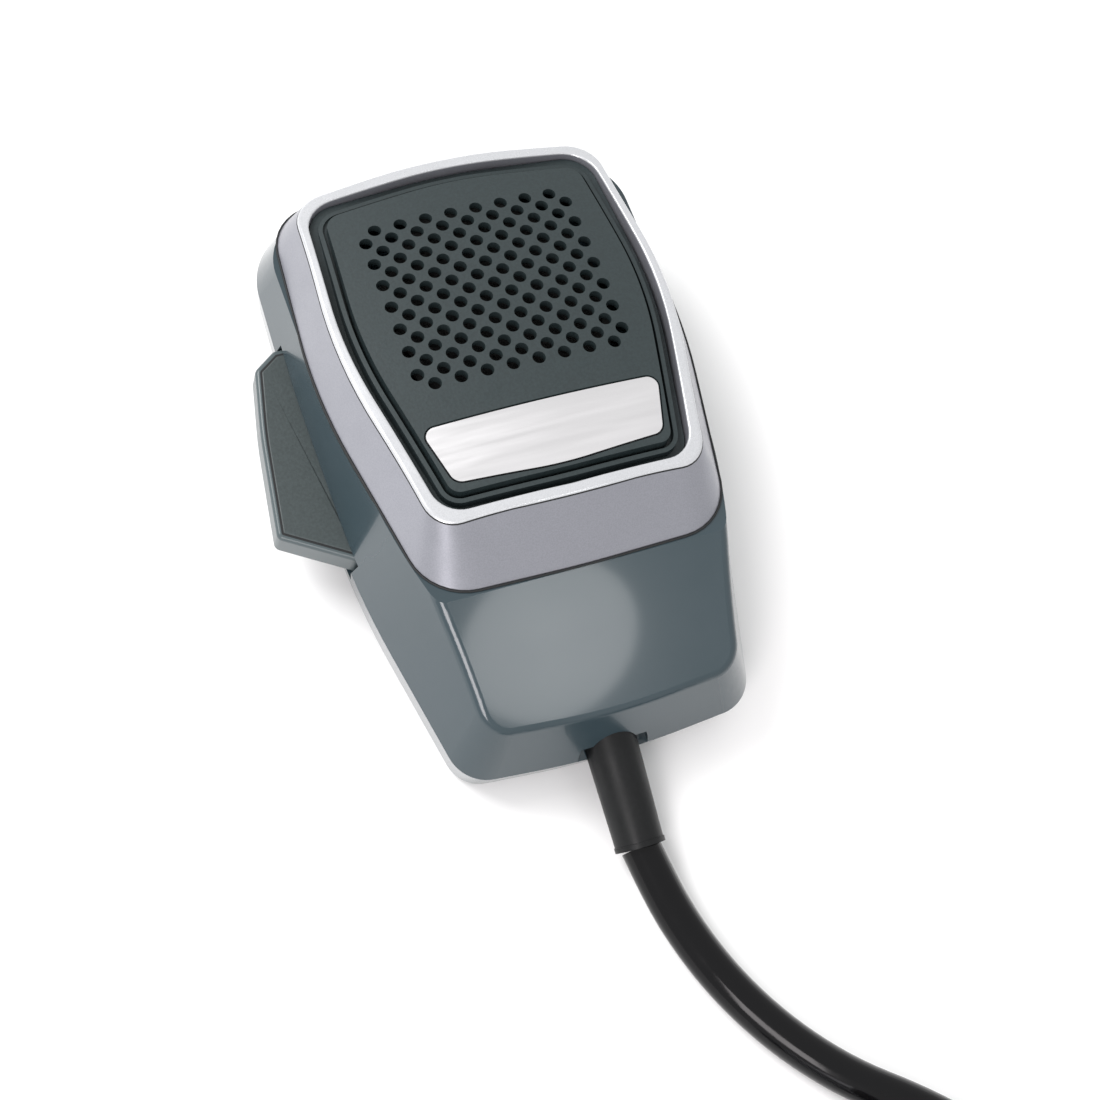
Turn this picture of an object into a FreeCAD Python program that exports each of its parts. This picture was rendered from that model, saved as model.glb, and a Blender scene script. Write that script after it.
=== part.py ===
"""Hand microphone for an amateur radio set, lying on its back.

Every length is in millimetres and every angle in degrees.
Three frames are used:
  CASE  the seam between the two covers is z = 0, the case is symmetric about x = 0, +Y is its top end;
  FACE  tangent to the domed front at its apex, tilted from CASE;
  final +Z up, the case resting on the rear cover's tail edge and on the hang-up button.
"""

import FreeCAD, Part
import math
import os
import re

from FreeCAD import Placement, Rotation, Vector

SIZES = [
    ("wall", 1.8, "wall of both covers"),
    ("front_height", 18.2, "front cover, seam to its highest outline"),
    ("rear_depth", 8.4, "rear cover, seam to its rear face"),
    ("rear_round", 2.0, "rounding of the rear cover's edge"),
    ("crease_round", 1.8, "rounding of the front slope's edges"),
    ("face_tilt", 8.8, "tilt of the domed face against the seam"),
    ("face_rise", 21.21, "face origin above the seam"),
    ("slope_start_y", -46.7, "upper edge of the front slope"),
    ("slope_start_z", 18.0, "height of that edge above the seam"),
    ("slope_tilt", 19.92, "fall of the front slope"),
    ("lie_tilt", 5.7, "tilt of the seam against the table"),
    ("lie_lift", 15.326, "seam origin above the table"),
    ("lie_x", 4.337, "case middle from the origin along X"),
    ("lie_y", 30.912, "seam origin from the origin along Y"),
    ("cutter_reach", 200.0, "size of the blocks that trim the covers"),
    ("bezel_depth", 10.5, "bezel rear below the face origin"),
    ("bezel_round", 0.35, "rounding of the bezel's rims"),
    ("dome_radius", 205.0, "radius of the bezel's domed rim"),
    ("dome_middle_y", -9.6, "apex of the dome along the face"),
    ("frame_gap", 0.15, "grille frame inside the bezel"),
    ("frame_wall", 1.2, "grille frame wall"),
    ("frame_floor", 6.2, "underside of the frame floor below the face"),
    ("frame_ledge", 5.0, "top of the frame floor below the face"),
    ("rib_inset", 1.5, "rib outside from the bezel opening"),
    ("rib_width", 0.7, "rib width"),
    ("rib_drop", 1.3, "rib top below the dome"),
    ("panel_inset", 2.85, "panel edge from the bezel opening"),
    ("panel_drop", 0.5, "panel surface below the dome"),
    ("panel_sheet", 1.5, "panel thickness"),
    ("panel_skirt", 1.2, "wall of the panel's skirt"),
    ("hole_radius", 1.05, "sound hole"),
    ("hole_column", 4.2, "sound hole pitch along X"),
    ("hole_row", 2.1, "sound hole row pitch"),
    ("plate_gap", 0.3, "gap around the nameplate"),
    ("plate_seat", 0.8, "nameplate seat below the panel surface"),
    ("cloth_radius", 17.5, "acoustic cloth"),
    ("cloth_thick", 0.5, "acoustic cloth"),
    ("cloth_drop", 4.4, "cloth underside below the face"),
    ("capsule_radius", 16.5, "microphone capsule"),
    ("capsule_height", 8.8, "microphone capsule"),
    ("capsule_drop", 13.6, "capsule underside below the face"),
    ("capsule_y", -3.0, "capsule middle along the face"),
    ("boot_wall", 1.8, "rubber boot around the capsule"),
    ("boot_height", 10.0, "rubber boot"),
    ("pivot_x", -28.2, "push-to-talk pivot"),
    ("pin_radius", 1.2, "push-to-talk pivot pin"),
    ("pin_length", 10.4, "push-to-talk pivot pin"),
    ("pin_low", -5.6, "lower end of the pivot pin"),
    ("pin_clearance", 0.06, "pivot pin in the lever"),
    ("lever_low", -3.5, "push-to-talk lever underside"),
    ("lever_height", 6.0, "push-to-talk lever"),
    ("lever_round", 0.7, "rounding of the lever's edges"),
    ("slot_gap", 0.4, "lever in its slot"),
    ("recess_deep", 0.6, "recess in the side wall above the lever"),
    ("spring_radius", 1.95, "return spring, middle of its wire"),
    ("spring_wire", 0.3, "return spring wire"),
    ("nose_radius", 1.2, "nose of the lever that presses the switch"),
    ("nose_x", -27.2, "middle of the nose"),
    ("nose_y", -14.5, "middle of the nose"),
    ("boss_radius", 3.2, "screw bosses of the covers"),
    ("screw_radius", 1.25, "cover screw shank"),
    ("screw_bite", 0.05, "screw shank in its pilot hole"),
    ("screw_head", 2.5, "cover screw head"),
    ("screw_reach", 5.0, "cover screw tip above the seam"),
    ("sink_radius", 2.7, "counterbore for a cover screw"),
    ("sink_deep", 2.0, "counterbore for a cover screw"),
    ("neck_radius", 3.2, "hang-up button neck"),
    ("neck_height", 4.8, "hang-up button neck"),
    ("head_radius", 6.0, "hang-up button head"),
    ("head_height", 2.0, "hang-up button head"),
    ("button_y", 4.0, "hang-up button on the rear cover"),
    ("relief_y", -73.26, "strain relief at the case"),
    ("relief_z", 0.02, "strain relief at the case"),
    ("relief_droop", 8.9, "strain relief against the seam"),
    ("relief_length", 14.8, "strain relief outside the case"),
    ("relief_radius", 4.2, "strain relief at the case"),
    ("relief_end", 3.9, "strain relief at its end"),
    ("relief_lip", 0.8, "lip at the strain relief's end"),
    ("flange_radius", 5.0, "strain relief flange inside the case"),
    ("flange_in", 7.6, "flange's inner face from the case end"),
    ("flange_thick", 2.0, "strain relief flange"),
    ("cord_radius", 3.2, "cord"),
    ("cord_inside", 13.5, "cord end inside the case"),
    ("coil_radius", 8.75, "outside of the curly part"),
    ("coil_bend", 48.0, "bend of the curly part on the table"),
    ("coil_middle_y", -138.0, "middle of that bend from the origin"),
    ("coil_middle_x", 0.35, "middle of that bend from the origin"),
    ("coil_start", 16.0, "curly part's first end on the bend"),
    ("coil_sweep", 172.0, "curly part along the bend"),
    ("board_thick", 1.6, "circuit board"),
    ("plug_radius", 7.0, "plug shell"),
    ("plug_shell_length", 20.0, "plug shell"),
    ("plug_wall", 1.0, "plug shell"),
    ("ring_radius", 9.2, "coupling ring"),
    ("ring_length", 10.0, "coupling ring"),
    ("ring_clearance", 0.08, "coupling ring on the plug shell"),
]

# Outlines: x, y and rounding radius of each corner on the right, from the top middle to the tail middle.
OUTLINES = {
    "seam": [(0, 27.4, 150), (31.9, 24.0, 11), (32.4, -4.0, 250), (31.5, -37.0, 130), (24.2, -71.3, 6.5),
             (0, -73.4, 150)],
    "upper": [(0, 24.6, 100), (27.4, 20.6, 9), (29.0, -6.0, 150), (25.6, -41.0, 100), (18.2, -64.0, 5),
              (0, -65.0, 150)],
    "bezel_rear": [(0, 28.4, 120), (28.2, 25.8, 8), (30.8, -7.8, 90), (24.3, -45.2, 9), (0, -45.8, 200)],
    "bezel_rim": [(0, 25.4, 90), (23.5, 22.25, 4.6), (27.5, -6.8, 70), (20.9, -34.1, 4.1), (0, -36.1, 120)],
    "opening": [(0, 24.05, 90), (24.0, 22.1, 5.5), (26.15, -5.8, 70), (20.1, -35.5, 5), (0, -35.95, 200)],
    "plate": [(0, -21.7, 0), (19.35, -21.7, 1.6), (16.85, -31.1, 2.0), (0, -32.45, 60)],
}
CORNER_NAMES = {
    6: ("top", "shoulder", "flank", "hip", "heel", "tail"),
    5: ("top", "shoulder", "flank", "heel", "tail"),
    4: ("top", "shoulder", "heel", "tail"),
}

# Push-to-talk lever seen from the front: x, y and rounding radius.
LEVER = [
    (-33.0, 3.7, 0.9),
    (-36.7, 1.2, 1.5),
    (-38.9, -9.5, 80),
    (-41.1, -26.6, 1.2),
    (-30.0, -33.3, 1.0),
    (-28.8, -33.3, 0.5),
    (-28.8, -2.0, 0.5),
    (-25.6, -2.0, 2.2),
    (-25.6, 2.6, 2.2),
    (-30.0, 3.7, 1.0),
]
# Recess in the side wall above the lever seen from the left: y, z and rounding radius.
RECESS = [
    (3.6, 0.0, 0.5),
    (3.0, 3.4, 1.5),
    (-3.2, 10.9, 3.0),
    (-16.0, 12.0, 20.0),
    (-29.4, 12.2, 3.0),
    (-33.2, 4.4, 2.0),
    (-33.6, 0.0, 0.5),
]

# Cord on the table, from the strain relief to the curly part, and from there to the plug.
# Each point is x, y, z in the final frame; the route between two points is straight.
LEAD_ROUTE = [
    (5.35, -63.7, 3.25),
    (6.85, -71.1, 3.25),
    (9.35, -78.7, 3.25),
    (12.95, -86.1, 3.25),
    (17.75, -93.3, 3.25),
    (23.75, -100.0, 3.25),
    (30.95, -105.8, 3.25),
    (37.3, -112.0, 3.25),
    (42.4, -118.2, 3.25),
    (46.5, -124.77, 3.25),
]
TAIL_ROUTE = [
    (-43.5, -157.5, 3.25),
    (-47.2, -149.3, 3.25),
    (-47.4, -140.3, 3.25),
    (-44.1, -131.9, 3.9),
    (-37.8, -125.5, 6.0),
    (-29.5, -122.0, 8.4),
    (-20.5, -122.0, 9.2),
]
# Cord's entry into the plug in the final frame.
PLUG_PLACE = (-20.5, -122.0, 9.2)

# Places in CASE, seen from the front.
BOSSES = [(-22.5, 15.5), (22.5, 15.5), (-17.5, -62.0), (17.5, -62.0)]
SWITCH = {"x": -24.0, "y": -21.5, "z": -3.3, "length": 5.8, "width": 13.0, "height": 6.5}
SWITCH_SCREWS = [(-20.2, -19.4), (-20.2, -10.4)]
BOARD_SCREWS = [(-10.5, -51.5), (14.5, -51.5), (-10.5, -24.5), (14.5, -24.5)]
BOARD_LOW = -4.4
CLAMP_Y = -63.5
CLAMP_SPREAD = 7.5

# Contacts of the plug: one in the middle and this many around it.
CONTACT_COUNT = 7
CONTACT_CIRCLE = 3.7

document = FreeCAD.newDocument("HandMicrophone")
sheet = document.addObject("Spreadsheet::Sheet", "Sizes")
nodes = {}


def fill_sheet():
    """Writes every driving dimension into the sheet, one row each."""
    rows = list(SIZES)
    for name, corners in OUTLINES.items():
        for corner, values in zip(CORNER_NAMES[len(corners)], corners):
            for part, value in zip(("across", "along", "round"), values):
                rows.append((f"{name}_{corner}_{part}", value, f"{name} outline, {corner} corner"))
    for row, (alias, value, meaning) in enumerate(rows, start=1):
        sheet.set(f"A{row}", meaning)
        sheet.set(f"B{row}", str(value))
        sheet.setAlias(f"B{row}", alias)
    document.recompute()


def size(alias):
    """Value of one cell of the sheet."""
    return float(sheet.get(alias))


def bind(item, **formulas):
    """Binds properties to formulas whose words are aliases of the sheet."""
    for name, formula in formulas.items():
        item.setExpression(name, re.sub(r"[a-z][a-z_]+", r"Sizes.\g<0>", formula))
    return item


# Frames

def case_frame():
    """CASE to final."""
    turn = Rotation(Vector(1, 0, 0), size("lie_tilt"))
    return Placement(Vector(size("lie_x"), size("lie_y"), size("lie_lift")), turn)


def face_frame():
    """FACE to CASE."""
    return Placement(Vector(0, 0, size("face_rise")), Rotation(Vector(1, 0, 0), -size("face_tilt")))


def relief_frame():
    """Strain relief to CASE, its +Z pointing out of the case along the cord."""
    droop = math.radians(size("relief_droop"))
    way = Vector(0, -math.cos(droop), -math.sin(droop))
    return Placement(Vector(0, size("relief_y"), size("relief_z")), Rotation(Vector(0, 0, 1), way))


def at(x, y, z, frame=None):
    """Placement at a point of a frame, with the frame's own directions."""
    here = Placement(Vector(x, y, z), Rotation())
    return frame.multiply(here) if frame else here


# Solids

def block(name, lengths, place):
    """Box with formulas for its three lengths."""
    item = document.addObject("Part::Box", name)
    item.Placement = place
    return bind(item, Length=lengths[0], Width=lengths[1], Height=lengths[2])


def rod(name, radius, height, place):
    """Cylinder along its placement's +Z."""
    item = document.addObject("Part::Cylinder", name)
    item.Placement = place
    return bind(item, Radius=radius, Height=height)


def cone(name, radius_low, radius_high, height, place):
    """Cone along its placement's +Z."""
    item = document.addObject("Part::Cone", name)
    item.Placement = place
    return bind(item, Radius1=radius_low, Radius2=radius_high, Height=height)


def dome(name, radius):
    """Ball whose top is the face, lowered by a smaller radius."""
    item = document.addObject("Part::Sphere", name)
    item.Placement = at(0, size("dome_middle_y"), -size("dome_radius"))
    return bind(item, Radius=radius)


def cut(name, base, *tools):
    """Base less every tool."""
    tool = tools[0] if len(tools) == 1 else fuse(name + "_tools", *tools)
    item = document.addObject("Part::Cut", name)
    item.Base = base
    item.Tool = tool
    return item


def fuse(name, *pieces):
    """Pieces joined into one solid."""
    item = document.addObject("Part::MultiFuse", name)
    item.Shapes = list(pieces)
    return item


def common(name, base, tool):
    """What two solids share."""
    item = document.addObject("Part::Common", name)
    item.Base = base
    item.Tool = tool
    return item


def fillet(name, base, radius, chosen):
    """Rounds the edges that chosen(edge) picks."""
    document.recompute()
    item = document.addObject("Part::Fillet", name)
    item.Base = base
    edges = enumerate(base.Shape.Edges, start=1)
    item.Edges = [(number, radius, radius) for number, edge in edges if chosen(edge)]
    return item


# Outlines

def mirrored(name):
    """Closed outline from its named corners on the right, read from the sheet."""
    names = CORNER_NAMES[len(OUTLINES[name])]
    parts = ("across", "along", "round")
    right = [tuple(size(f"{name}_{corner}_{part}") for part in parts) for corner in names]
    left = [(-x, y, radius) for x, y, radius in right[-2:0:-1]]
    return right + left


def inset(corners, distance):
    """Moves every side of a clockwise outline inwards; a negative distance moves it outwards."""
    moved = []
    count = len(corners)
    for index, (x, y, radius) in enumerate(corners):
        before = corners[index - 1]
        after = corners[(index + 1) % count]
        way_in = Vector(x - before[0], y - before[1], 0).normalize()
        way_out = Vector(after[0] - x, after[1] - y, 0).normalize()
        normal_in = Vector(way_in.y, -way_in.x, 0)
        normal_out = Vector(way_out.y, -way_out.x, 0)
        step = (normal_in + normal_out) * (distance / (1 + normal_in.dot(normal_out)))
        moved.append((x + step.x, y + step.y, max(radius - distance, 0.3) if radius else 0))
    return moved


def rounded(corners):
    """Lines and arcs of a closed outline whose corners are rounded."""
    count = len(corners)
    ends = []
    for index, (x, y, radius) in enumerate(corners):
        here = Vector(x, y, 0)
        to_last = (Vector(*corners[index - 1][:2], 0) - here).normalize()
        to_next = (Vector(*corners[(index + 1) % count][:2], 0) - here).normalize()
        half = to_last.getAngle(to_next) / 2
        if radius == 0 or half > math.radians(89.99):
            ends.append((here, None, here))
            continue
        reach = radius / math.tan(half)
        middle = (to_last + to_next).normalize() * (radius / math.sin(half) - radius)
        ends.append((here + to_last * reach, here + middle, here + to_next * reach))
    geometry = []
    for index, (start, middle, end) in enumerate(ends):
        if middle:
            geometry.append(Part.Arc(start, middle, end))
        following = ends[(index + 1) % count][0]
        if following.distanceToPoint(end) > 1e-6:
            geometry.append(Part.LineSegment(end, following))
    return geometry


def sketch(name, corners, place):
    """Sketch of a rounded outline."""
    item = document.addObject("Sketcher::SketchObject", name)
    item.addGeometry(rounded(corners), False)
    item.Placement = place
    return item


def prism(name, corners, length, place):
    """Outline pushed along its placement's +Z."""
    item = document.addObject("Part::Extrusion", name)
    item.Base = sketch(name + "_outline", corners, place)
    item.DirMode = "Normal"
    item.Solid = True
    return bind(item, LengthFwd=length)


def loft(name, low, low_z, high, high_z):
    """Solid between two outlines at two heights."""
    item = document.addObject("Part::Loft", name)
    item.Sections = [sketch(name + "_low", low, at(0, 0, low_z)),
                     sketch(name + "_high", high, at(0, 0, high_z))]
    item.Solid = True
    item.Ruled = True
    return item


# Tools shared by the two covers

def face_block(name, sink):
    """Everything in front of the bezel's seat, lowered by sink."""
    low = -size("bezel_depth") - sink
    reach = size("cutter_reach")
    place = at(-reach / 2, -reach / 2, low, face_frame())
    return block(name, ("cutter_reach", "cutter_reach", "cutter_reach"), place)


def slope_block(name, sink):
    """Everything in front of the front slope, lowered by sink."""
    turn = Rotation(Vector(1, 0, 0), size("slope_tilt"))
    frame = Placement(Vector(0, size("slope_start_y"), size("slope_start_z")), turn)
    reach = size("cutter_reach")
    place = at(-reach / 2, -reach * 0.9, -sink, frame)
    return block(name, ("cutter_reach", "cutter_reach", "cutter_reach"), place)


def lever_slot(name):
    """Slot for the lever through both covers' side wall."""
    low = size("lever_low") - size("slot_gap")
    place = at(-50.0, -34.3, low)
    return block(name, ("50 + pivot_x + 2.6", "38.5", "lever_height + 2 * slot_gap"), place)


def relief_hole(name):
    """Round hole for the strain relief through both covers' end wall."""
    return rod(name, "relief_radius + 0.1", "9", at(0, 0, -5.0, relief_frame()))


def boss(name, x, y, low, height, radius="boss_radius"):
    """Round post of a cover."""
    return rod(name, radius, height, at(x, y, low))


# Sub-parts of the case

def front_cover():
    """Upper shell: side walls, front slope and the deck that carries the bezel."""
    seam = mirrored("seam")
    upper = mirrored("upper")
    height = size("front_height")
    wall = size("wall")
    raw = loft("front_raw", seam, 0, upper, height)
    trimmed = cut("front_trimmed", raw, face_block("front_face_cut", 0), slope_block("front_slope_cut", 0))
    outer = fillet("front_outer", trimmed, size("crease_round"), on_slope)

    hollow_raw = loft("front_hollow_raw", inset(seam, wall), 0, inset(upper, wall), height)
    bosses = [boss(f"front_boss_{i}", x, y, 0, "front_height") for i, (x, y) in enumerate(BOSSES)]
    pin_seat = boss("front_pin_seat", size("pivot_x"), 0,
                    size("lever_height") + size("lever_low") + size("slot_gap"),
                    "front_height", "pin_radius + 2.2")
    hollow = cut("front_hollow", hollow_raw, face_block("front_deck_cut", wall),
                 slope_block("front_slope_inner", wall), pin_seat, *bosses)

    window = rod("front_window", "capsule_radius + boot_wall", "12",
                 at(0, size("capsule_y"), -size("bezel_depth") - 6, face_frame()))
    pilots = [rod(f"front_pilot_{i}", "screw_radius - screw_bite", "screw_reach + 0.5", at(x, y, 0))
              for i, (x, y) in enumerate(BOSSES)]
    pin_hole = rod("front_pin_hole", "pin_radius", "pin_length", at(size("pivot_x"), 0, size("pin_low")))
    recess_side = prism("recess_side", [(-y, z, radius) for y, z, radius in RECESS], "30", recess_place())
    recess_keep = loft("recess_keep", inset(seam, size("recess_deep")), 0,
                       inset(upper, size("recess_deep")), height)
    recess = cut("recess", recess_side, recess_keep)
    scallop = rod("relief_scallop", "relief_radius + 1.7", "8", at(0, 0, -2.1, relief_frame()))
    return cut("front_cover_body", outer, hollow, window, pin_hole, recess, scallop, lever_slot("front_slot"),
               relief_hole("front_relief_hole"), *pilots)


def recess_place():
    """Left of the case, looking along +X: local x is -Y of the case, local y is +Z."""
    turn = Rotation(Vector(0, -1, 0), Vector(0, 0, 1), Vector(1, 0, 0), "XYZ")
    return Placement(Vector(-50.0, 0, 0), turn)


def on_slope(edge):
    """True for the front slope's side and lower edges."""
    tilt = math.radians(size("slope_tilt"))
    normal = Vector(0, -math.sin(tilt), math.cos(tilt))
    start = Vector(0, size("slope_start_y"), size("slope_start_z"))
    ends = [vertex.Point for vertex in edge.Vertexes]
    flat = all(abs((point - start).dot(normal)) < 0.01 for point in ends)
    return flat and min(point.y for point in ends) < start.y - 0.5


def rear_cover():
    """Lower shell with the screw columns and the seats of pin, board, clamp and button."""
    seam = mirrored("seam")
    wall = size("wall")
    depth = size("rear_depth")
    raw = loft("rear_raw", inset(seam, 1.0), -depth, seam, 0)
    outer = fillet("rear_outer", raw, size("rear_round"), lambda edge: edge.BoundBox.ZMax < -depth + 0.01)
    floor = wall - depth
    hollow_raw = loft("rear_hollow_raw", inset(seam, 1.0 + wall), floor, inset(seam, wall), 0)
    posts = [boss(f"rear_boss_{i}", x, y, floor, "rear_depth") for i, (x, y) in enumerate(BOSSES)]
    posts.append(boss("rear_pin_seat", size("pivot_x"), 0, floor, "rear_depth - wall + lever_low - slot_gap",
                      "pin_radius + 2.2"))
    posts.append(boss("rear_button_seat", 0, size("button_y"), floor, "3.6", "neck_radius + 0.8"))
    posts += [boss(f"rear_board_post_{i}", x, y, floor, "2.2", "2") for i, (x, y) in enumerate(BOARD_SCREWS)]
    hollow = cut("rear_hollow", hollow_raw, *posts)
    holes = []
    for i, (x, y) in enumerate(BOSSES):
        holes.append(rod(f"rear_through_{i}", "screw_radius + 0.2", "rear_depth", at(x, y, -depth)))
        holes.append(rod(f"rear_sink_{i}", "sink_radius", "sink_deep", at(x, y, -depth)))
    pin_hole = rod("rear_pin_hole", "pin_radius", "pin_length", at(size("pivot_x"), 0, size("pin_low")))
    button_hole = rod("rear_button_hole", "1.45", "rear_depth", at(0, size("button_y"), -depth))
    shell = cut("rear_shell", outer, hollow, pin_hole, button_hole, lever_slot("rear_slot"),
                relief_hole("rear_relief_hole"), *holes)
    clamp_posts = [boss(f"clamp_post_{i}", x, CLAMP_Y, floor, "rear_depth - wall + 4.75", "2.2")
                   for i, x in enumerate((-CLAMP_SPREAD, CLAMP_SPREAD))]
    return fuse("rear_cover_body", shell, *clamp_posts)


def cover_screws():
    """Four screws from the rear."""
    screws = []
    depth = size("rear_depth")
    sink = size("sink_deep")
    for i, (x, y) in enumerate(BOSSES):
        head = rod(f"cover_screw_head_{i}", "screw_head", "sink_deep - 0.2", at(x, y, -depth + 0.2))
        shank = rod(f"cover_screw_shank_{i}", "screw_radius", "rear_depth - sink_deep + screw_reach",
                    at(x, y, -depth + sink))
        drive = block(f"cover_screw_slot_{i}", ("2 * screw_head", "0.8", "0.9"),
                      at(x - size("screw_head"), y - 0.4, -depth + 0.2))
        screws.append(cut(f"cover_screw_{i}", fuse(f"cover_screw_blank_{i}", head, shank), drive))
    return compound("cover_screws_set", screws)


def compound(name, pieces):
    """Separate like pieces kept together."""
    item = document.addObject("Part::Compound", name)
    item.Links = list(pieces)
    return item


def bezel():
    """Bright frame around the grille, with a domed rim."""
    raw = loft("bezel_raw", mirrored("bezel_rear"), -size("bezel_depth"), mirrored("bezel_rim"), 0)
    domed = common("bezel_domed", raw, dome("bezel_dome", "dome_radius"))
    opening = prism("bezel_opening", mirrored("opening"), "20", at(0, 0, -15))
    ring = cut("bezel_ring", domed, opening)
    return fillet("bezel_body", ring, size("bezel_round"), on_rim)


def on_rim(edge):
    """True for the edges that lie on the dome."""
    middle = Vector(0, size("dome_middle_y"), -size("dome_radius"))
    points = [vertex.Point for vertex in edge.Vertexes] + [edge.valueAt(sum(edge.ParameterRange) / 2)]
    return all(abs(point.distanceToPoint(middle) - size("dome_radius")) < 0.01 for point in points)


def grille_frame():
    """Dark tray inside the bezel, with the rib around the panel."""
    opening = mirrored("opening")
    gap = size("frame_gap")
    depth = -size("bezel_depth")
    skirt = prism("frame_skirt", inset(opening, gap), "bezel_depth - frame_ledge", at(0, 0, depth))
    under = prism("frame_under", inset(opening, gap + size("frame_wall")), "bezel_depth - frame_floor",
                  at(0, 0, depth))
    inner = prism("frame_inner", inset(opening, size("panel_inset") + size("panel_skirt")), "12",
                  at(0, 0, depth))
    rib_inset = size("rib_inset")
    rib_outer = prism("rib_outer", inset(opening, rib_inset), "frame_ledge + 1",
                      at(0, 0, -size("frame_ledge")))
    rib_inner = prism("rib_inner", inset(opening, rib_inset + size("rib_width")), "frame_ledge + 2",
                      at(0, 0, -size("frame_ledge") - 0.5))
    rib = common("rib", cut("rib_wall", rib_outer, rib_inner), dome("rib_dome", "dome_radius - rib_drop"))
    tray = cut("frame_tray", skirt, under, inner)
    return fuse("grille_frame_body", tray, rib)


def grille_panel():
    """Domed panel with the sound holes and the nameplate's seat."""
    edge = inset(mirrored("opening"), size("panel_inset"))
    ledge = -size("frame_ledge")
    raw = prism("panel_raw", edge, "frame_ledge + 1", at(0, 0, ledge))
    domed = common("panel_domed", raw, dome("panel_dome", "dome_radius - panel_drop"))
    under_raw = prism("panel_under_raw", inset(edge, size("panel_skirt")), "frame_ledge + 1",
                      at(0, 0, ledge - 0.5))
    under = common("panel_under", under_raw,
                   dome("panel_under_dome", "dome_radius - panel_drop - panel_sheet"))
    seat_raw = prism("plate_seat_raw", inset(mirrored("plate"), -size("plate_gap")), "8", at(0, 0, -5))
    seat = cut("plate_seat_cut", seat_raw, dome("plate_seat_dome", "dome_radius - panel_drop - plate_seat"))
    return cut("grille_panel_body", domed, under, seat, sound_holes())


def sound_holes():
    """Fifteen rows of holes, nine and eight in turn."""
    item = document.addObject("Part::Feature", "sound_holes")
    drills = []
    for row in range(-7, 8):
        in_row = 9 if row % 2 == 0 else 8
        for column in range(in_row):
            x = (column - (in_row - 1) / 2) * size("hole_column")
            start = Vector(x, row * size("hole_row"), -6)
            drills.append(Part.makeCylinder(size("hole_radius"), 8, start))
    item.Shape = Part.makeCompound(drills)
    return item


def nameplate():
    """Blank plate below the sound holes."""
    raw = prism("plate_raw", mirrored("plate"), "8", at(0, 0, -5))
    domed = common("plate_domed", raw, dome("plate_dome", "dome_radius - panel_drop"))
    return cut("nameplate_body", domed, dome("plate_back", "dome_radius - panel_drop - plate_seat"))


def acoustic_cloth():
    """Cloth disc behind the sound holes."""
    return rod("cloth_body", "cloth_radius", "cloth_thick", at(0, 0, -size("cloth_drop")))


def mic_capsule():
    """Microphone capsule: a can with a raised ring on its front."""
    y = size("capsule_y")
    can = rod("capsule_can", "capsule_radius", "capsule_height", at(0, y, -size("capsule_drop")))
    top = size("capsule_height") - size("capsule_drop")
    groove = rod("capsule_groove", "capsule_radius - 2", "1", at(0, y, top - 0.6))
    return cut("mic_capsule_body", can, groove)


def capsule_boot():
    """Rubber cup that holds the capsule in the deck."""
    y = size("capsule_y")
    low = -size("capsule_drop") - 1.0
    cup = rod("boot_cup", "capsule_radius + boot_wall", "boot_height", at(0, y, low))
    room = rod("boot_room", "capsule_radius", "boot_height", at(0, y, -size("capsule_drop")))
    port = rod("boot_port", "6", "4", at(0, y, low - 1))
    return cut("capsule_boot_body", cup, room, port)


# Push-to-talk group

def ptt_lever():
    """Lever with a hub on the pivot pin and a nose for the switch."""
    low = size("lever_low")
    blade = prism("lever_blade", LEVER, "lever_height", at(0, 0, low))
    soft = fillet("lever_soft", blade, size("lever_round"), outside_rim)
    nose = rod("lever_nose", "nose_radius", "3", at(size("nose_x"), size("nose_y"), -1.5))
    web = block("lever_web", ("2", "2.4", "3"), at(size("nose_x") - 2.0, size("nose_y") - 1.2, -1.5))
    bore = rod("lever_bore", "pin_radius + pin_clearance", "lever_height + 2",
               at(size("pivot_x"), 0, low - 1))
    spring_room = rod("lever_spring_room", "3.0", "2.8", at(size("pivot_x"), 0, -1.9))
    body = cut("lever_cut", soft, bore, spring_room)
    return fuse("ptt_lever_body", body, nose, web)


def outside_rim(edge):
    """True for the lever's upper and lower edges outside the case."""
    box = edge.BoundBox
    level = box.ZLength < 0.01
    return level and box.XMin < -31.0 and box.XMax < -29.9


def ptt_pivot_pin():
    """Steel pin along CASE Z."""
    return rod("pin_body", "pin_radius", "pin_length", at(size("pivot_x"), 0, size("pin_low")))


def ptt_return_spring():
    """Torsion spring on the pivot pin: closed turns as a sleeve, a leg on the lever and one on the case."""
    x = size("pivot_x")
    low = -1.6
    turns = rod("spring_turns", "spring_radius + spring_wire", "6 * spring_wire", at(x, 0, low))
    room = rod("spring_room", "spring_radius - spring_wire", "6 * spring_wire", at(x, 0, low))
    side = x + size("spring_radius")
    wire = size("spring_wire")
    leg_low = rod("spring_leg_low", "spring_wire - 0.06", "2.4", along_y(side, -2.2, low + 1.2 * wire))
    leg_high = rod("spring_leg_high", "spring_wire - 0.06", "2.2", along_y(side, -0.2, low + 4.8 * wire))
    return cut("spring_body", fuse("spring_blank", turns, leg_low, leg_high), room)


def along_y(x, y, z):
    """Placement whose +Z is +Y."""
    return Placement(Vector(x, y, z), Rotation(Vector(0, 0, 1), Vector(0, 1, 0)))


def switch_body():
    """Micro switch with a bore for its plunger and two screw holes."""
    case = block("switch_case", (str(SWITCH["length"]), str(SWITCH["width"]), str(SWITCH["height"])),
                 at(SWITCH["x"], SWITCH["y"], SWITCH["z"]))
    bore = rod("switch_bore", "1.36", "3.9", along_x(SWITCH["x"] - 0.1, size("nose_y"), 0))
    holes = [rod(f"switch_hole_{i}", "1", "10", at(x, y, -6)) for i, (x, y) in enumerate(SWITCH_SCREWS)]
    return cut("switch_body_solid", case, bore, *holes)


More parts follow.
